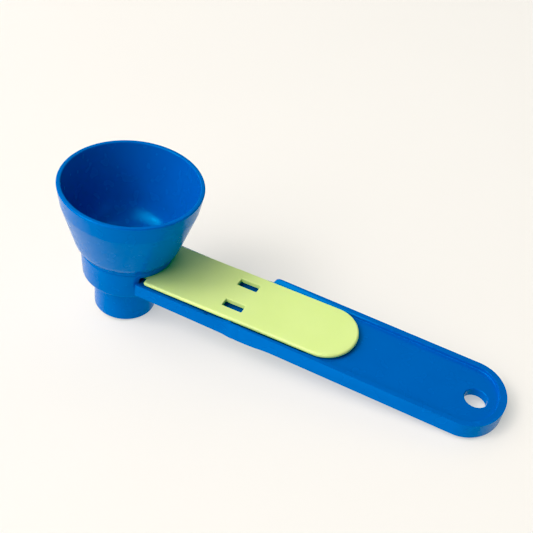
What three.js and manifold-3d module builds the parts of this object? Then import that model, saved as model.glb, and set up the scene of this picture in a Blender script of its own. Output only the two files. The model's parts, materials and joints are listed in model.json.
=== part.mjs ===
import * as THREE from 'three';
import { mergeVertices } from 'three/addons/utils/BufferGeometryUtils.js';
import Module from 'manifold-3d';

const wasm = await Module();
wasm.setup();

// A dosing scoop: a flared cup over a gate collar and a spout, a channel handle, and a slide
// that runs in the channel and shuts the outlet. It is drawn upright, in millimetres, with the
// cup's axis on Z and the spout's foot at Z = 0. The handle runs along +X. At the end it is
// tipped over to the way it lies on a table, on the foot's edge and the handle's far end.

// Driving dimensions
const rimRadius = 24;
const scoopHeight = 52;
const cupWall = 1.55;
const gap = 0.3;

const collarRadius = 15.8;
const collarBottom = 14.5;
const slotFloor = 21.2;
const slotRoof = 24.1;
const outletRadius = 9.6;

const spoutTopRadius = 11.1;
const footRadius = 10.75;
const spoutWall = 1.5;

const handleStart = 11.1;
const handleHalfWidth = 14.25;
const channelHalfWidth = 12.35;
const handleBottom = 19.25;
const handleTop = 24.85;
const tailCentre = 123;
const tailLength = 12.2;
const endWallThickness = 2.4;
const recessFloor = 23.6;
const webThickness = 2.8;

const neckHalfWidth = 13.3;
const neckBottom = 17.75;
const neckEnd = 44.5;
const flareEnd = 47.5;
const flareBottom = 18.3;
const stepStart = 54;
const stepBottom = 18.5;
const stepEnd = 61;
const railTop = 22.25;
const wallStart = 49.4;
const wallCorner = 2.4;
const pocketFloor = 21.6;
const pocketEnd = 72;
const pocketWeb = 1.2;
const hollowStart = 18;
const ribStart = 71;
const ribEnd = 75;

const holeCentre = 125.9;
const holeRadius = 3.75;

const slideHalfWidth = 11.85;
const slideThickness = 1.55;
const slideStart = 12.9;
const slideEndCentre = 74.5;
const slideEndLength = 10.5;
const bladeHalfWidth = 10;
const slidePitch = THREE.MathUtils.degToRad(1.535);
const slideTopAtAxis = 23.4;

const windowStart = 40.1;
const windowEnd = 47.2;
const windowInner = 4.0;
const windowOuter = 7.5;
const hookInset = 1.2;
const hookWall = 1.2;
const hookOuter = 2.0;
const barbOuter = 3.6;
const barbTop = -5.1;
const barbFoot = -5.8;
const hookSlotHalfWidth = hookOuter + 0.3;
const hookSlotStart = 40;
const hookSlotEnd = 70;

const roundSteps = 64;
const endSteps = 25;

const blue = { color: 0x0a63c4, roughness: 0.38, metalness: 0 };
const green = { color: 0xd6ec8e, roughness: 0.45, metalness: 0 };

// Solids for the boolean cuts
function toSolid(geometry) {
  const plain = geometry.clone();
  plain.deleteAttribute('normal');
  plain.deleteAttribute('uv');
  const merged = mergeVertices(plain, 1e-4);
  return new wasm.Manifold(new wasm.Mesh({
    numProp: 3,
    vertProperties: merged.getAttribute('position').array,
    triVerts: new Uint32Array(merged.index.array),
  }));
}

function toGeometry(solid) {
  const mesh = solid.getMesh();
  const geometry = new THREE.BufferGeometry();
  geometry.setAttribute('position', new THREE.BufferAttribute(mesh.vertProperties, 3));
  geometry.setIndex(new THREE.BufferAttribute(mesh.triVerts, 1));
  return geometry;
}

function named(name, geometry, look) {
  const mesh = new THREE.Mesh(geometry, new THREE.MeshStandardMaterial(look));
  mesh.name = name;
  return mesh;
}

function box(x0, x1, y0, y1, z0, z1) {
  const geometry = new THREE.BoxGeometry(x1 - x0, y1 - y0, z1 - z0);
  geometry.translate((x0 + x1) / 2, (y0 + y1) / 2, (z0 + z1) / 2);
  return toSolid(geometry);
}

// A box on each side of the centre plane, from inner to outer across it
function pair(x0, x1, inner, outer, z0, z1) {
  return box(x0, x1, inner, outer, z0, z1).add(box(x0, x1, -outer, -inner, z0, z1));
}

function cylinder(radius, x, z0, z1) {
  const geometry = new THREE.CylinderGeometry(radius, radius, z1 - z0, roundSteps);
  geometry.rotateX(Math.PI / 2);
  geometry.translate(x, 0, (z0 + z1) / 2);
  return toSolid(geometry);
}

// A ring turned about Z from a closed outline of [radius, height] points. Half a step of turn
// puts a flat, not a corner, towards the handle.
function turned(outline) {
  const points = outline.map(([radius, height]) => new THREE.Vector2(radius, height));
  const geometry = new THREE.LatheGeometry([...points, points[0].clone()], roundSteps);
  geometry.rotateX(Math.PI / 2);
  geometry.rotateZ(Math.PI / roundSteps);
  return toSolid(geometry);
}

function slab(shape, z0, z1) {
  const geometry = new THREE.ExtrudeGeometry(shape, {
    depth: z1 - z0,
    bevelEnabled: false,
    curveSegments: endSteps,
  });
  geometry.translate(0, 0, z0);
  return toSolid(geometry);
}

// A strip along X from start, with a half-elliptical far end past centre
function roundEnded(start, centre, halfWidth, endLength) {
  const shape = new THREE.Shape();
  shape.moveTo(start, -halfWidth);
  shape.lineTo(centre, -halfWidth);
  shape.absellipse(centre, 0, endLength, halfWidth, -Math.PI / 2, Math.PI / 2, false, 0);
  shape.lineTo(start, halfWidth);
  shape.closePath();
  return shape;
}

function cup() {
  const bandFoot = [23.0, 45.3];
  const coneFoot = [18.25, 29.6];
  const ledge = [16.1, 25.7];
  const floorEdge = [15.6, 27.3];
  const floorMiddle = [outletRadius, 25.3];
  const lipInner = rimRadius - cupWall;
  const lipFlank = scoopHeight - 0.7;
  const outside = [
    [collarRadius + 0.1, slotRoof],
    [collarRadius + 0.15, 24.6],
    ledge,
    [16.7, 26.3],
    [17.5, 27.8],
    coneFoot,
    bandFoot,
    [rimRadius - 0.2, lipFlank - 0.7],
  ];
  const lip = [
    [rimRadius, lipFlank],
    [rimRadius - 0.2, lipFlank + 0.45],
    [(rimRadius + lipInner) / 2, scoopHeight],
    [lipInner + 0.2, lipFlank + 0.45],
    [lipInner, lipFlank],
  ];
  const inside = [
    [bandFoot[0] - cupWall, bandFoot[1]],
    [coneFoot[0] - cupWall, coneFoot[1]],
    floorEdge,
    floorMiddle,
    [outletRadius, slotRoof],
  ];
  return turned([...outside, ...lip, ...inside]);
}

function gateCollar() {
  const top = slotRoof - gap;
  const bore = spoutTopRadius + gap;
  const ring = turned([
    [14.2, collarBottom],
    [15, collarBottom + 0.4],
    [15.2, collarBottom + 1.3],
    [collarRadius, top],
    [bore, top],
    [bore, collarBottom],
  ]);
  const slotHalfWidth = bladeHalfWidth + gap;
  return ring.subtract(
    box(0, collarRadius + 1, -slotHalfWidth, slotHalfWidth, slotFloor, top + 1));
}

// The spout runs up through the collar, and its top edge is the gate's seat.
function spout() {
  return turned([
    [footRadius - spoutWall, 0],
    [footRadius, 0],
    [spoutTopRadius, collarBottom],
    [spoutTopRadius, slotFloor],
    [spoutTopRadius - spoutWall, slotFloor],
    [spoutTopRadius - spoutWall, collarBottom],
  ]);
}

function handle() {
  const tailEnd = tailCentre + tailLength;
  const side = new THREE.Shape();
  side.moveTo(handleStart, neckBottom);
  side.lineTo(neckEnd, neckBottom);
  side.lineTo(flareEnd, flareBottom);
  side.lineTo(stepStart, stepBottom);
  side.lineTo(stepEnd, handleBottom);
  side.lineTo(tailEnd, handleBottom);
  side.lineTo(tailEnd, handleTop);
  side.lineTo(wallStart + wallCorner, handleTop);
  side.lineTo(wallStart + 0.4 * wallCorner, handleTop - 0.4 * wallCorner);
  side.lineTo(wallStart, railTop);
  side.lineTo(handleStart, railTop);
  side.closePath();
  const profile = new THREE.ExtrudeGeometry(side, {
    depth: 2 * handleHalfWidth + 2,
    bevelEnabled: false,
  });
  profile.rotateX(Math.PI / 2);
  profile.translate(0, handleHalfWidth + 1, 0);
  const plan = new THREE.Shape();
  plan.moveTo(handleStart, -neckHalfWidth);
  plan.lineTo(neckEnd, -neckHalfWidth);
  plan.lineTo(flareEnd, -handleHalfWidth);
  plan.lineTo(tailCentre, -handleHalfWidth);
  plan.absellipse(
    tailCentre, 0, tailLength, handleHalfWidth, -Math.PI / 2, Math.PI / 2, false, 0);
  plan.lineTo(flareEnd, handleHalfWidth);
  plan.lineTo(neckEnd, neckHalfWidth);
  plan.lineTo(handleStart, neckHalfWidth);
  plan.closePath();
  const bar = toSolid(profile).intersect(slab(plan, 0, scoopHeight));

  const innerLength = tailLength - endWallThickness;
  const above = handleTop + 1;
  const below = neckBottom - 1;
  const recess = slab(
    roundEnded(handleStart - 1, tailCentre, channelHalfWidth, innerLength), recessFloor, above);
  const pocket = box(
    handleStart - 1, pocketEnd, -channelHalfWidth, channelHalfWidth, pocketFloor, above);
  const hookSlot = box(
    hookSlotStart, hookSlotEnd, -hookSlotHalfWidth, hookSlotHalfWidth, below, above);
  const neckHollow = box(
    hollowStart, ribStart, -channelHalfWidth, channelHalfWidth, below, pocketFloor - pocketWeb);
  const tailHollow = slab(
    roundEnded(ribEnd, tailCentre, channelHalfWidth, innerLength),
    below, recessFloor - webThickness);
  const hangHole = cylinder(holeRadius, holeCentre, below, above);
  const collarSeat = cylinder(collarRadius + gap, 0, below, above);
  return [recess, pocket, hookSlot, neckHollow, tailHollow, hangHole, collarSeat]
    .reduce((solid, cut) => solid.subtract(cut), bar);
}

// The slide is drawn level, with its upper face at Z = 0, and pitched afterwards. It has the
// half-round blade, the wide plate with its round thumb end, and two snap hooks between the
// windows, which reach through the handle's guide slot.
function slideGate() {
  const plate = slab(
    roundEnded(slideStart, slideEndCentre, slideHalfWidth, slideEndLength), -slideThickness, 0);
  const blade = cylinder(bladeHalfWidth, 0, -slideThickness, 0)
    .add(box(0, slideStart + 1, -bladeHalfWidth, bladeHalfWidth, -slideThickness, 0));
  const windows = pair(
    windowStart, windowEnd, windowInner, windowOuter, -slideThickness - 1, 1);
  const hookStart = windowStart + hookInset;
  const hookEnd = windowEnd - hookInset;
  const legs = pair(hookStart, hookEnd, hookOuter - hookWall, hookOuter, barbFoot, -1);
  const barbs = pair(hookStart, hookEnd, hookOuter - hookWall, barbOuter, barbFoot, barbTop);
  return plate.add(blade).subtract(windows).add(legs).add(barbs);
}

const upright = new THREE.Group();
upright.add(
  named('cup', toGeometry(cup()), blue),
  named('gate_collar', toGeometry(gateCollar()), blue),
  named('spout', toGeometry(spout()), blue),
  named('handle', toGeometry(handle()), blue),
);
const slide = named('slide_gate', toGeometry(slideGate()), green);
slide.rotation.y = -slidePitch;
slide.position.z = slideTopAtAxis;
upright.add(slide);

// At rest it lies on the foot's edge and on the underside of the handle's far end.
upright.rotation.y = Math.atan2(handleBottom, tailCentre + tailLength - footRadius);
const scoop = new THREE.Group();
scoop.add(upright);

// The origin is under the middle of the lying scoop, on the table.
const extent = new THREE.Box3().setFromObject(scoop, true);
const middle = extent.getCenter(new THREE.Vector3());
upright.position.set(-middle.x, 0, -extent.min.z);

export default scoop;
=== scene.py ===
import json
from math import atan2, cos, pi, radians, sin

import bmesh
import bpy
from mathutils import Matrix, Vector


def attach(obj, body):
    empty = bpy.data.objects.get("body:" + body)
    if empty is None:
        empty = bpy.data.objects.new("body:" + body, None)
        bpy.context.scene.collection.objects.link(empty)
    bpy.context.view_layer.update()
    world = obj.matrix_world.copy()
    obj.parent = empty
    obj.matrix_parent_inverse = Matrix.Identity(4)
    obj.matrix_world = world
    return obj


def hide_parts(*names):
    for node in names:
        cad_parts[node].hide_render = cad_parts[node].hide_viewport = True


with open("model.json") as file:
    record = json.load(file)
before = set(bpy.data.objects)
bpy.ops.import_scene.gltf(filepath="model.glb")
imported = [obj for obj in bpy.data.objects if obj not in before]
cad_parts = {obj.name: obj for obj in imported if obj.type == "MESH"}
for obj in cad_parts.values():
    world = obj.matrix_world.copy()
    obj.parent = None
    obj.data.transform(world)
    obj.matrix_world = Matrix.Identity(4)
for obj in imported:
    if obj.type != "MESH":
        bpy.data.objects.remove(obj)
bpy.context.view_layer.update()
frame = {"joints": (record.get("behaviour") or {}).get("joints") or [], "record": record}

# The scoop is drawn upright in millimetres: cup axis on Z, spout foot at Z = 0, handle along X.
# layDown turns it to the way it lies on the table, in metres.
footMount = next(m for m in frame["record"]["mounts"] if m["name"] == "spout_foot")
footDown = Vector(footMount["axis"])
footPlace = Vector((footMount["pos_m"][0], 0, footMount["pos_m"][2]))
lean = atan2(-footDown.x, -footDown.z)
layDown = Matrix.Translation(footPlace) @ Matrix.Rotation(lean, 4, "Y") @ Matrix.Scale(0.001, 4)


# Camera

cameraLook = {
    "place": (121.53, -217.15, 239.20),  # upright millimetres from the spout's foot
    "azimuth": 24.83,
    "elevation": 37.77,
    "lens": 64.17,
    "sensor": 36,
    "shift": 0.00094,
    "clipStart": 0.01,
}


def placeCamera(look):
    data = bpy.data.cameras.new("mainCamera")
    data.lens = look["lens"]
    data.sensor_width = look["sensor"]
    data.shift_x = -look["shift"]
    data.shift_y = look["shift"]
    data.clip_start = look["clipStart"]
    camera = bpy.data.objects.new("mainCamera", data)
    bpy.context.scene.collection.objects.link(camera)
    camera.location = layDown @ Vector(look["place"])
    camera.rotation_euler = (radians(90 - look["elevation"]), 0, radians(look["azimuth"]))
    bpy.context.scene.camera = camera


placeCamera(cameraLook)
print("camera placed")


# Materials

bluePlasticLook = {
    "colour": (0.0, 0.104, 0.485),
    "deepColour": (0.0, 0.098, 0.470),
    # painted highlight: a lighter blue laid on convex edges, where the edges catch the light
    "edgeHighlightColour": (0.0, 0.145, 0.600),
    "specularTint": (0.0, 0.55, 1.0),
    "specular": 0.75,
    "roughness": (0.22, 0.29),
    "subsurface": 0.0,
    "subsurfaceRadius": (0.2, 0.5, 1.0),
}

greenPlasticLook = {
    "colour": (0.730, 0.900, 0.315),
    "deepColour": (0.710, 0.885, 0.295),
    # painted highlight: a lighter green laid on convex edges, where the edges catch the light
    "edgeHighlightColour": (0.800, 0.935, 0.420),
    "specularTint": (1.0, 1.0, 1.0),
    "specular": 0.45,
    "roughness": (0.30, 0.38),
    "subsurface": 0.15,
    "subsurfaceRadius": (1.0, 1.0, 0.4),
}

plasticDetail = {
    "grainSize": 0.0008,       # fine spark-eroded grain of the mould
    "grainDepth": 0.000003,
    "flowSize": 0.014,         # slow colour drift where the melt flowed
    "mottleSize": 0.004,       # patches that are a little duller
    "mottleShare": 0.5,        # how much of the relief is in those patches
    "reliefStrength": 0.35,
    # pointiness range and share of the painted highlight on convex edges
    "edgeHighlightRange": (0.53, 0.62),
    "edgeHighlightShare": 0.35,
    "flowRange": (0.35, 0.65),
    "mottleRange": (0.3, 0.7),
    "subsurfaceScale": 0.0012,
}


def newNode(tree, kind, place, **values):
    node = tree.nodes.new(kind)
    node.location = place
    for name, value in values.items():
        setattr(node, name, value)
    return node


def noiseNode(tree, vector, size, place, detail=3):
    noise = newNode(tree, "ShaderNodeTexNoise", place)
    noise.inputs["Scale"].default_value = 1 / size
    noise.inputs["Detail"].default_value = detail
    tree.links.new(vector, noise.inputs["Vector"])
    return noise.outputs["Fac"]


def rampNode(tree, value, low, high, place, start=0.0, end=1.0):
    ramp = newNode(tree, "ShaderNodeMapRange", place, clamp=True)
    for socket, number in zip(("From Min", "From Max", "To Min", "To Max"), (low, high, start, end)):
        ramp.inputs[socket].default_value = number
    tree.links.new(value, ramp.inputs["Value"])
    return ramp.outputs["Result"]


def mixColours(tree, factor, first, second, place):
    mix = newNode(tree, "ShaderNodeMix", place, data_type="RGBA")
    tree.links.new(factor, mix.inputs["Factor"])
    for socket, colour in zip((mix.inputs[6], mix.inputs[7]), (first, second)):
        if isinstance(colour, tuple):
            socket.default_value = (*colour, 1)
        else:
            tree.links.new(colour, socket)
    return mix.outputs[2]


def mathNode(tree, operation, first, second, place):
    node = newNode(tree, "ShaderNodeMath", place, operation=operation)
    for socket, value in zip(node.inputs, (first, second)):
        if isinstance(value, (int, float)):
            socket.default_value = value
        else:
            tree.links.new(value, socket)
    return node.outputs["Value"]


def mouldedPlastic(name, look, detail):
    material = bpy.data.materials.new(name)
    material.use_nodes = True
    tree = material.node_tree
    shader = tree.nodes["Principled BSDF"]
    shader.inputs["Specular IOR Level"].default_value = look["specular"]
    shader.inputs["Specular Tint"].default_value = (*look["specularTint"], 1)
    shader.inputs["Subsurface Weight"].default_value = look["subsurface"]
    shader.inputs["Subsurface Radius"].default_value = look["subsurfaceRadius"]
    shader.inputs["Subsurface Scale"].default_value = detail["subsurfaceScale"]
    objectPlace = newNode(tree, "ShaderNodeTexCoord", (-1500, 0)).outputs["Object"]

    flow = noiseNode(tree, objectPlace, detail["flowSize"], (-1200, 300), 2)
    mottle = noiseNode(tree, objectPlace, detail["mottleSize"], (-1200, 60), 1)
    grain = noiseNode(tree, objectPlace, detail["grainSize"], (-1200, -180), 0)

    # painted highlight: convex edges, found by pointiness, are mixed towards the lighter edge colour
    edges = newNode(tree, "ShaderNodeNewGeometry", (-1200, 540)).outputs["Pointiness"]
    edgeHighlight = rampNode(tree, edges, *detail["edgeHighlightRange"], (-950, 540), 0, detail["edgeHighlightShare"])

    drift = rampNode(tree, flow, *detail["flowRange"], (-950, 300))
    body = mixColours(tree, drift, look["deepColour"], look["colour"], (-700, 300))
    colour = mixColours(tree, edgeHighlight, body, look["edgeHighlightColour"], (-350, 300))
    tree.links.new(colour, shader.inputs["Base Color"])

    smooth, dull = look["roughness"]
    satin = rampNode(tree, mottle, *detail["mottleRange"], (-700, 60), smooth, dull)
    tree.links.new(satin, shader.inputs["Roughness"])

    patches = mathNode(tree, "MULTIPLY", mottle, detail["mottleShare"], (-900, -200))
    relief = mathNode(tree, "ADD", grain, patches, (-700, -180))
    bump = newNode(tree, "ShaderNodeBump", (-350, -200))
    bump.inputs["Strength"].default_value = detail["reliefStrength"]
    bump.inputs["Distance"].default_value = detail["grainDepth"]
    tree.links.new(relief, bump.inputs["Height"])
    tree.links.new(bump.outputs["Normal"], shader.inputs["Normal"])
    return material


bluePlastic = mouldedPlastic("bluePlastic", bluePlasticLook, plasticDetail)
greenPlastic = mouldedPlastic("greenPlastic", greenPlasticLook, plasticDetail)
print("materials made")


# Shared shapes

meshCare = {
    "spinWeld": 0.0005,    # millimetres within which points are joined
    "cutWeld": 0.002,
    "flatAngle": 0.5,      # degrees below which faces are one
    "edgeAngle": 25,       # degrees above which an edge can be rounded
    "sharpAngle": 38,      # degrees above which shading breaks
    "near": 0.1,           # millimetres within which an edge lies at a named place
}


def arc(centre, radius, start, end, steps=8):
    angles = [radians(start + (end - start) * i / steps) for i in range(steps + 1)]
    return [(centre[0] + radius * cos(a), centre[1] + radius * sin(a)) for a in angles]


def bend(start, corner, end, steps=8):
    # a curve from start to end that leaves and arrives in line with the corner
    first, middle, last = Vector(start), Vector(corner), Vector(end)
    shares = [i / steps for i in range(steps + 1)]
    return [tuple((1 - t) ** 2 * first + 2 * t * (1 - t) * middle + t * t * last) for t in shares]


def turnedShape(outline, steps=144):
    bm = bmesh.new()
    verts = [bm.verts.new((radius, 0, height)) for radius, height in outline]
    edges = [bm.edges.new(ends) for ends in zip(verts, verts[1:] + verts[:1])]
    bmesh.ops.spin(bm, geom=verts + edges, cent=(0, 0, 0), axis=(0, 0, 1), dvec=(0, 0, 0),
                   angle=2 * pi, steps=steps, use_merge=True)
    bmesh.ops.remove_doubles(bm, verts=bm.verts, dist=meshCare["spinWeld"])
    bmesh.ops.recalc_face_normals(bm, faces=bm.faces)
    return bm


def prism(outline, push):
    bm = bmesh.new()
    face = bm.faces.new([bm.verts.new(point) for point in outline])
    pushed = bmesh.ops.extrude_face_region(bm, geom=[face])
    moved = [item for item in pushed["geom"] if isinstance(item, bmesh.types.BMVert)]
    bmesh.ops.translate(bm, vec=push, verts=moved)
    bmesh.ops.recalc_face_normals(bm, faces=bm.faces)
    return bm


def block(xs, ys, zs):
    bm = bmesh.new()
    bmesh.ops.create_cube(bm, size=1)
    size = (xs[1] - xs[0], ys[1] - ys[0], zs[1] - zs[0])
    bmesh.ops.scale(bm, vec=size, verts=bm.verts)
    bmesh.ops.translate(bm, vec=[sum(ends) / 2 for ends in (xs, ys, zs)], verts=bm.verts)
    return bm


def drum(radius, x, zs, segments=96):
    bm = bmesh.new()
    bmesh.ops.create_cone(bm, cap_ends=True, segments=segments, radius1=radius, radius2=radius,
                          depth=zs[1] - zs[0])
    bmesh.ops.translate(bm, vec=(x, 0, sum(zs) / 2), verts=bm.verts)
    return bm


def roundEnded(start, centre, halfWidth, endLength, height, steps=48):
    # a strip along X from start, with a half-elliptical far end past centre
    turns = [-pi / 2 + pi * i / steps for i in range(steps + 1)]
    end = [(centre + endLength * cos(a), halfWidth * sin(a), height) for a in turns]
    return [(start, -halfWidth, height), *end, (start, halfWidth, height)]


def asObject(name, bm):
    mesh = bpy.data.meshes.new(name)
    bm.to_mesh(mesh)
    bm.free()
    made = bpy.data.objects.new(name, mesh)
    bpy.context.scene.collection.objects.link(made)
    return made


def combine(bm, tools):
    # tools is a list of (operation, bmesh), worked through in turn
    work = asObject("work", bm)
    helpers = []
    for operation, tool in tools:
        helper = asObject("helper", tool)
        helpers.append(helper)
        modifier = work.modifiers.new("join", "BOOLEAN")
        modifier.operation = operation
        modifier.object = helper
        modifier.solver = "EXACT"
    evaluated = work.evaluated_get(bpy.context.evaluated_depsgraph_get())
    mesh = bpy.data.meshes.new_from_object(evaluated)
    result = bmesh.new()
    result.from_mesh(mesh)
    for used in [work, *helpers]:
        bpy.data.meshes.remove(used.data)
    bpy.data.meshes.remove(mesh)
    bmesh.ops.remove_doubles(result, verts=result.verts, dist=meshCare["cutWeld"])
    bmesh.ops.dissolve_limit(result, angle_limit=radians(meshCare["flatAngle"]),
                             verts=result.verts, edges=result.edges)
    return result


def roundEdges(bm, radius, test, segments=4):
    # rounds the sharp edges whose middle and direction pass the test
    chosen = [edge for edge in bm.edges
              if len(edge.link_faces) == 2
              and edge.calc_face_angle(0) > radians(meshCare["edgeAngle"])
              and test((edge.verts[0].co + edge.verts[1].co) / 2,
                       (edge.verts[1].co - edge.verts[0].co).normalized())]
    bmesh.ops.bevel(bm, geom=chosen, offset=radius, offset_type="OFFSET", segments=segments,
                    profile=0.5, affect="EDGES", material=-1, clamp_overlap=True)


def finishPiece(name, bm, material, body, nodes):
    bmesh.ops.recalc_face_normals(bm, faces=bm.faces)
    bm.transform(layDown)
    piece = asObject(name, bm)
    mesh = piece.data
    mesh.shade_smooth()
    mesh.set_sharp_from_angle(angle=radians(meshCare["sharpAngle"]))
    mesh.materials.append(material)
    even = piece.modifiers.new("evenNormals", "WEIGHTED_NORMAL")
    even.keep_sharp = True
    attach(piece, body)
    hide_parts(*nodes)
    print(name, len(mesh.polygons), "faces")
    return piece


# Cup

cupSizes = {
    "lipOuter": ((23.53, 51.53), 0.47),   # corner centre and radius
    "lipInner": ((22.87, 51.58), 0.42),
    "bandFoot": (23.0, 45.3),
    "bandStep": (0.02, 0.12),
    "coneFoot": (18.45, 30.25),
    "coneCorner": (18.2, 29.3),
    "chamferTop": (17.75, 28.5),
    "chamferFoot": (16.35, 26.55),
    "ledge": ((15.70, 25.70), (16.02, 25.25)),  # small step that catches the light
    "ledgeCorner": (16.10, 25.1),
    "foot": (16.0, 24.6),
    "plugRadius": 15.45,
    "wall": 1.55,
    "bottom": 24.1,
    "floorStart": (17.55, 32.45),
    "floorCorner": (15.75, 27.2),
    "floorEnd": (11.6, 25.97),
    "outletRadius": 9.6,
    "outletTop": 25.3,
    "outletEase": (0.5, 0.17),
}


def makeCup(sizes):
    band, cone, wall = Vector(sizes["bandFoot"]), Vector(sizes["coneFoot"]), sizes["wall"]
    outlet, top, bottom = sizes["outletRadius"], sizes["outletTop"], sizes["bottom"]
    outline = [(sizes["plugRadius"], bottom), (sizes["plugRadius"], sizes["foot"][1])]
    outline += bend(sizes["foot"], sizes["ledgeCorner"], sizes["ledge"][1], 5)
    outline += bend(sizes["ledge"][1], sizes["ledge"][0], sizes["chamferFoot"], 5)[1:]
    outline += bend(sizes["chamferTop"], sizes["coneCorner"], cone, 5)
    step = Vector(sizes["bandStep"])
    outline += [tuple(band - step), tuple(band + step)]
    outline += arc(*sizes["lipOuter"], -8, 90, 8)
    outline += arc(*sizes["lipInner"], 90, 170, 8)
    outline += [(band.x - wall, band.y)]
    outline += bend(sizes["floorStart"], sizes["floorCorner"], sizes["floorEnd"], 12)
    easeIn, easeUp = sizes["outletEase"]
    outline += bend((outlet + easeIn, top + easeUp), (outlet, top), (outlet, top - easeIn), 4)
    outline += [(outlet, bottom)]
    bm = turnedShape(outline)
    return finishPiece("measuringCup", bm, bluePlastic, "scoop_body", ["cup"])


makeCup(cupSizes)


# Gate collar, with the slot that the blade runs in

collarSizes = {
    "bottom": 14.5,
    "bottomRadius": 14.2,
    "corner": 1.0,
    "rim": (16.0, 24.6),       # meets the cup's foot
    "seat": 21.15,
    "roof": 24.1,
    "bladeRoom": 11.3,
    "bore": 10.4,
    "spoutRadius": 11.12,
    "fillet": 0.6,
    "slotHalfWidth": 11.2,
    "slotReach": 20,
}


def makeCollar(sizes):
    bottom, corner, roof = sizes["bottom"], sizes["corner"], sizes["roof"]
    spoutRadius, fillet = sizes["spoutRadius"], sizes["fillet"]
    outline = [(sizes["bore"], bottom - fillet)]
    outline += bend((spoutRadius, bottom - fillet), (spoutRadius, bottom),
                    (spoutRadius + fillet, bottom), 5)
    outline += arc((sizes["bottomRadius"], bottom + corner), corner, -90, -4, 8)
    outline += [sizes["rim"], (sizes["bladeRoom"], sizes["rim"][1])]
    outline += [(sizes["bladeRoom"], sizes["seat"]), (sizes["bore"], sizes["seat"])]
    half = sizes["slotHalfWidth"]
    slot = block((0, sizes["slotReach"]), (-half, half), (sizes["seat"], roof))
    bm = combine(turnedShape(outline), [("DIFFERENCE", slot)])
    return finishPiece("gateCollar", bm, bluePlastic, "scoop_body",
                       ["gate_collar"])


makeCollar(collarSizes)


# Spout

spoutSizes = {
    "footRadius": 10.75,
    "topRadius": 11.1,
    "wall": 1.5,
    "collarBottom": 14.5,
    "seat": 21.15,
    "rounding": 0.35,
}


def makeSpout(sizes):
    foot, top, wall, edge = (sizes[k] for k in ("footRadius", "topRadius", "wall", "rounding"))
    outline = bend((foot - wall, edge), (foot - wall, 0), (foot - wall + edge, 0), 4)
    outline += bend((foot - edge, 0), (foot, 0), (foot, edge), 4)
    outline += [(top, sizes["collarBottom"]), (top, sizes["seat"])]
    outline += [(top - wall, sizes["seat"]), (top - wall, sizes["collarBottom"])]
    bm = turnedShape(outline)
    return finishPiece("pouringSpout", bm, bluePlastic, "scoop_body", ["spout"])


makeSpout(spoutSizes)


# Channel handle

handleSizes = {
    "start": 11.1,
    "neckHalfWidth": 13.3,
    "halfWidth": 14.25,
    "channelHalfWidth": 12.35,
    "neckEnd": 42,
    "flareEnd": 50.5,
    "flareEase": 1.6,
    "tailCentre": 123,
    "tailLength": 12.2,
    "endWall": 2.4,
    "neckBottom": 17.75,
    "bottom": 19.25,
    "railTop": 22.25,
    "frontRail": ((0, 22.35), (38, 22.9)),          # rises a little towards the wall
    "frontRise": ((43, 23.0), (47, 24.2), (48.8, 24.8), (52, 24.85)),
    "rearStepFoot": ((49.0, 22.25), (49.4, 22.25), (49.5, 22.75)),
    "rearStepTop": ((49.7, 23.05), (50.1, 24.85), (52.2, 24.85)),
    "underStep": ((45, 17.75), (46.6, 17.8), (48, 18.35)),
    "underLevel": (53, 18.5),
    "underSlope": ((56, 18.7), (59, 19.25), (63, 19.25)),
    "ease": ((46, 13.85, 23.3), (90, 12.6, 24.6)),  # along, across and depth of the walls' easing
    "top": 24.85,
    "pocketFloor": 21.6,
    "pocketEnd": 72,
    "recessFloor": 23.6,
    "web": 2.8,
    "pocketWeb": 1.2,
    "hollowStart": 18,
    "rib": (71, 75),
    "holeCentre": 125.9,
    "holeRadius": 3.75,
    "hookSlot": (40, 70),
    "hookSlotHalfWidth": 2.3,
    "notch": (36.4, 37.9),
    "notchAcross": (-1, 0.55),
    "notchTop": 24,
    "roundedRail": (22.22, 23.85),    # heights between which the rails' edges are rounded
    "roundedRailEnd": 46,
    "collarSeatRadius": 15.4,
    "cutHeights": (10, 30),    # well past the underside and the top
    "cutEnd": 140,             # well past the tail
    "cutMargin": 2,
    "recessCut": 5,
    "easeCut": 27,
}

# radii of the handle's rounded edges
handleRounding = {
    "holeRim": 0.35,
    "wallOuter": 0.75,
    "wallInner": 0.3,
    "under": 0.42,
    "recessFoot": 0.3,
    "railTop": 0.22,
}


def handlePlan(sizes, height):
    neck, half, ease = sizes["neckHalfWidth"], sizes["halfWidth"], sizes["flareEase"]
    middle = ((sizes["neckEnd"] + sizes["flareEnd"]) / 2, (neck + half) / 2)
    flare = bend((sizes["neckEnd"], neck), (middle[0] - ease, neck), middle, 6)
    flare += bend(middle, (middle[0] + ease, half), (sizes["flareEnd"], half), 6)[1:]
    front = [(x, -y, height) for x, y in flare]
    rear = [(x, y, height) for x, y in reversed(flare)]
    tail = roundEnded(0, sizes["tailCentre"], half, sizes["tailLength"], height)[1:-1]
    return [(sizes["start"], -neck, height), *front, *tail, *rear, (sizes["start"], neck, height)]


def sideCut(points, side=0, reach=20):
    # a prism across the handle, from its outline seen from the front, on one side or both
    start, end = (-reach if side < 1 else 0), (reach if side > -1 else 0)
    return prism([(x, start, z) for x, z in points], (0, end - start, 0))


def easing(sizes, side):
    # a tapering wedge that takes the inner top edge off a wall beside the slide
    bm = bmesh.new()
    loops = []
    inner, top, past = sizes["channelHalfWidth"] - 0.1, sizes["top"] + 0.1, sizes["easeCut"]
    for x, reach, depth in sizes["ease"]:
        section = [(inner, depth), (reach, top), (reach, past), (inner, past)]
        verts = [bm.verts.new((x, side * y, z)) for y, z in section]
        face = bm.faces.new(verts)
        loops += face.edges
    bmesh.ops.bridge_loops(bm, edges=loops)
    bmesh.ops.recalc_face_normals(bm, faces=bm.faces)
    return bm


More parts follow.
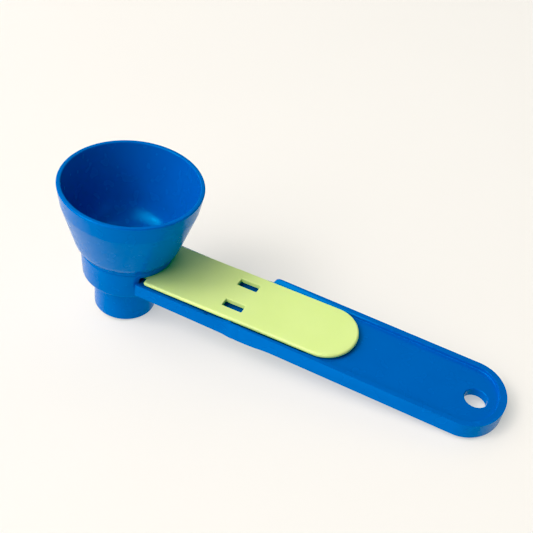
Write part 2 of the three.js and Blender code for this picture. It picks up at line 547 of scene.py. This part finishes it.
def makeHandle(sizes, rounding):
    half, channel = sizes["halfWidth"], sizes["channelHalfWidth"]
    low, high, past = sizes["neckBottom"], sizes["top"], sizes["cutMargin"]
    centre, length = sizes["tailCentre"], sizes["tailLength"]
    bar = prism(handlePlan(sizes, low), (0, 0, high - low))

    foot, step = sizes["rearStepFoot"], sizes["rearStepTop"]
    above = [(0, sizes["railTop"]), *bend(*foot, 4), *bend(*step, 8)]
    above += [(step[2][0], high + past), (0, high + past)]
    rail, rise = sizes["frontRail"], sizes["frontRise"]
    aboveFront = [rail[0], *bend(rail[1], rise[0], rise[1], 6), *bend(*rise[1:], 5)[1:]]
    aboveFront += [(rise[3][0], high + past), (0, high + past)]
    under, end = sizes["underStep"], sizes["cutEnd"]
    belowTail = [*bend(*under, 4), sizes["underLevel"], *bend(*sizes["underSlope"], 6)]
    belowTail += [(end, sizes["bottom"]), (end, low - past), (under[0][0], low - past)]

    inner = length - sizes["endWall"]
    floor, heights = sizes["recessFloor"], sizes["cutHeights"]
    recess = prism(roundEnded(0, centre, channel, inner, floor), (0, 0, sizes["recessCut"]))
    pocket = block((0, sizes["pocketEnd"]), (-channel, channel),
                   (sizes["pocketFloor"], heights[1]))
    slotHalf = sizes["hookSlotHalfWidth"]
    hookSlot = block(sizes["hookSlot"], (-slotHalf, slotHalf), heights)
    neckHollow = block((sizes["hollowStart"], sizes["rib"][0]), (-channel, channel),
                       (heights[0], sizes["pocketFloor"] - sizes["pocketWeb"]))
    tailHollow = prism(roundEnded(sizes["rib"][1], centre, channel, inner, heights[0]),
                       (0, 0, floor - sizes["web"] - heights[0]))
    hangHole = drum(sizes["holeRadius"], sizes["holeCentre"], heights)
    notchEnds = [channel + across for across in sizes["notchAcross"]]
    notches = [block(sizes["notch"], sorted(side * y for y in notchEnds),
                     (sizes["railTop"], sizes["notchTop"])) for side in (-1, 1)]
    collarSeat = drum(sizes["collarSeatRadius"], 0, heights, 144)
    cuts = [sideCut(above, 1), sideCut(aboveFront, -1), sideCut(belowTail), recess, pocket,
            easing(sizes, 1), easing(sizes, -1), hookSlot, neckHollow, tailHollow, hangHole,
            *notches, collarSeat]
    bm = combine(bar, [("DIFFERENCE", cut) for cut in cuts])

    near = meshCare["near"]

    def onHole(place):
        way = Vector((place.x - sizes["holeCentre"], place.y))
        return abs(way.length - sizes["holeRadius"]) < near

    def onTop(place):
        return place.z > high - near / 2

    def outside(place):
        if place.x < centre:
            return abs(place.y) > channel + 4 * near
        middleHalf, middleLength = (half + channel) / 2, (length + inner) / 2
        return (place.y / middleHalf) ** 2 + ((place.x - centre) / middleLength) ** 2 > 1

    def onRail(place):
        atNotch = sizes["notch"][0] - near < place.x < sizes["notch"][1] + near
        low, high = sizes["roundedRail"]
        return low < place.z < high and place.x < sizes["roundedRailEnd"] and not atNotch

    roundEdges(bm, rounding["holeRim"], lambda p, way: onHole(p) and p.z > floor - near)
    roundEdges(bm, rounding["wallOuter"], lambda p, way: onTop(p) and outside(p)
               and (abs(p.y) > half - near or p.x > centre), 6)
    roundEdges(bm, rounding["wallInner"], lambda p, way: onTop(p) and not outside(p))
    roundEdges(bm, rounding["under"], lambda p, way: outside(p) and abs(way.z) < 0.5
               and p.z < sizes["bottom"] + 0.15)
    roundEdges(bm, rounding["recessFoot"], lambda p, way: abs(p.z - floor) < 0.02
               and p.x > sizes["pocketEnd"] + 1 and not onHole(p), 3)
    roundEdges(bm, rounding["railTop"], lambda p, way: outside(p) and onRail(p)
               and abs(way.y) < 0.5 < abs(way.x), 3)
    return finishPiece("channelHandle", bm, bluePlastic, "scoop_body",
                       ["handle"])


makeHandle(handleSizes, handleRounding)


# Slide, drawn level with its upper face at Z = 0 and pitched afterwards

slideSizes = {
    "halfWidth": 11.85,
    "thickness": 1.55,
    "start": 12.9,
    "endCentre": 74.5,
    "endLength": 10.5,
    "bladeHalfWidth": 9.9,
    "tongueHalfWidth": 8.6,
    "topAtAxis": 23.4,
    "window": (40.1, 47.2),
    "windowAcross": (4.0, 7.5),
    "hook": (41.3, 46.0),
    "hookAcross": (0.8, 2.0),
    "barbAcross": (0.8, 3.6),
    "barb": (-5.8, -5.1),
    "crease": 36.5,
    "creaseWidth": 0.7,
    "creaseDrop": 0.1,
    "cornerRounding": 1.0,
    "rounding": 0.8,
    "underRounding": 0.6,
    "windowCorner": 0.3,
    "windowRim": 0.2,
    "windowCut": (-5, 5),
}


def mirrored(xs, ys, zs):
    return [block(xs, ys, zs), block(xs, (-ys[1], -ys[0]), zs)]


def makeSlide(sizes):
    thick, start = sizes["thickness"], sizes["start"]
    half, blade = sizes["halfWidth"], sizes["bladeHalfWidth"]
    window, crease, near = sizes["window"], sizes["crease"], meshCare["near"]
    plan = roundEnded(start, sizes["endCentre"], half, sizes["endLength"], -thick)
    plate = prism(plan, (0, 0, thick))
    roundEdges(plate, sizes["cornerRounding"],
               lambda p, way: abs(way.z) > 0.9 and p.x < start + near, 5)
    roundEdges(plate, sizes["rounding"], lambda p, way: p.z > -0.01, 6)
    roundEdges(plate, sizes["underRounding"], lambda p, way: p.z < 0.01 - thick, 4)
    disc = drum(blade, 0, (-thick, 0))
    tongue = block((0, start + 2), (-sizes["tongueHalfWidth"], sizes["tongueHalfWidth"]),
                   (-thick, 0))
    openings = mirrored(window, sizes["windowAcross"], sizes["windowCut"])
    for opening in openings:
        roundEdges(opening, sizes["windowCorner"], lambda p, way: abs(way.z) > 0.9, 4)
    hooks = mirrored(sizes["hook"], sizes["hookAcross"], (sizes["barb"][0], -thick / 2))
    barbs = mirrored(sizes["hook"], sizes["barbAcross"], sizes["barb"])
    tools = [("UNION", disc), ("UNION", tongue)]
    tools += [("DIFFERENCE", opening) for opening in openings]
    bm = combine(plate, tools)
    roundEdges(bm, sizes["windowRim"], lambda p, way: p.z > -0.15 and abs(p.y) < half - 2
               and window[0] - near < p.x < window[1] + near, 3)
    for x in (crease, crease + sizes["creaseWidth"]):
        bmesh.ops.bisect_plane(bm, geom=bm.verts[:] + bm.edges[:] + bm.faces[:],
                               plane_co=(x, 0, 0), plane_no=(1, 0, 0))
    for vert in bm.verts:
        if vert.co.z > -thick / 2 and vert.co.x < crease + near:
            vert.co.z -= sizes["creaseDrop"]
    bm = combine(bm, [("UNION", tool) for tool in hooks + barbs])
    bm.transform(Matrix.Translation((0, 0, sizes["topAtAxis"])) @ Matrix.Rotation(-pitch, 4, "Y"))
    return finishPiece("gateSlide", bm, greenPlastic, "slide", ["slide_gate"])


slideWay = Vector(frame["joints"][0]["axis"])
pitch = lean + atan2(slideWay.z, slideWay.x)
makeSlide(slideSizes)


# Floor and light

stageLook = {
    "floorColour": (0.473, 0.463, 0.446),
    "floorGlow": (0.447, 0.434, 0.405),    # as of a lit table, which keeps the shadows pale
    "floorSize": 8,
    "floorRoughness": 0.9,
    "floorSpecular": 0.1,
    "cloudSize": 0.12,                     # metres over which the floor's shade drifts
    "cloudShade": 0.985,
    "cloudRange": (0.3, 0.7),
    "lampColour": (1.0, 0.975, 0.94),
    "horizonColour": (0.70, 0.69, 0.66),
    "lampDistance": 2.2,
    "skyColour": (0.02, 0.02, 0.02),
    "blackLevel": (0.045, 0.0, 0.0),       # keeps the blue pure in the finished picture
    "horizonEdge": (0.17, 0.32),           # sine of the height where the pale horizon fades
}

lamps = [
    {"name": "keyLamp", "azimuth": 222, "height": 44, "size": 2.9, "power": 40},
    {"name": "frontLamp", "azimuth": 260, "height": 45, "size": 1.9, "power": 14},
    {"name": "coreLamp", "azimuth": 222, "height": 48, "size": 0.7, "power": 12},
    {"name": "upperLamp", "azimuth": 235, "height": 70, "size": 1.7, "power": 11},
    {"name": "fillLamp", "azimuth": 150, "height": 35, "size": 2.2, "power": 10},
    {"name": "rearLamp", "azimuth": 90, "height": 50, "size": 1.9, "power": 5},
]


def makeFloor(look):
    bm = bmesh.new()
    bmesh.ops.create_grid(bm, x_segments=8, y_segments=8, size=look["floorSize"] / 2)
    floor = asObject("floor", bm)
    paper = bpy.data.materials.new("palePaper")
    paper.use_nodes = True
    tree = paper.node_tree
    shader = tree.nodes["Principled BSDF"]
    shader.inputs["Roughness"].default_value = look["floorRoughness"]
    shader.inputs["Specular IOR Level"].default_value = look["floorSpecular"]
    shader.inputs["Emission Color"].default_value = (*look["floorGlow"], 1)
    shader.inputs["Emission Strength"].default_value = 1
    place = newNode(tree, "ShaderNodeTexCoord", (-900, 0)).outputs["Object"]
    drift = noiseNode(tree, place, look["cloudSize"], (-700, 0))
    cloud = rampNode(tree, drift, *look["cloudRange"], (-500, 0))
    dimmer = tuple(part * look["cloudShade"] for part in look["floorColour"])
    tree.links.new(mixColours(tree, cloud, dimmer, look["floorColour"], (-300, 0)),
                   shader.inputs["Base Color"])
    floor.data.materials.append(paper)


def makeSky(look):
    world = bpy.data.worlds.new("studio")
    world.use_nodes = True
    tree = world.node_tree
    way = newNode(tree, "ShaderNodeTexCoord", (-900, 0)).outputs["Generated"]
    split = newNode(tree, "ShaderNodeSeparateXYZ", (-700, 0))
    tree.links.new(way, split.inputs[0])
    height = rampNode(tree, split.outputs["Z"], *look["horizonEdge"], (-500, 0))
    colour = mixColours(tree, height, look["horizonColour"], look["skyColour"], (-300, 0))
    tree.links.new(colour, tree.nodes["Background"].inputs["Color"])
    bpy.context.scene.world = world


def makeLamp(lamp, look):
    data = bpy.data.lights.new(lamp["name"], "AREA")
    data.shape = "DISK"
    data.size = lamp["size"]
    data.energy = lamp["power"]
    data.color = look["lampColour"]
    made = bpy.data.objects.new(lamp["name"], data)
    bpy.context.scene.collection.objects.link(made)
    turn, rise = radians(lamp["azimuth"]), radians(lamp["height"])
    way = Vector((cos(rise) * cos(turn), cos(rise) * sin(turn), sin(rise)))
    made.location = way * look["lampDistance"]
    made.rotation_euler = way.to_track_quat("Z", "Y").to_euler()


makeFloor(stageLook)
makeSky(stageLook)
for lamp in lamps:
    makeLamp(lamp, stageLook)
view = bpy.context.scene.view_settings
view.view_transform = "Standard"
view.use_curve_mapping = True
view.curve_mapping.black_level = stageLook["blackLevel"]
print("stage lit")
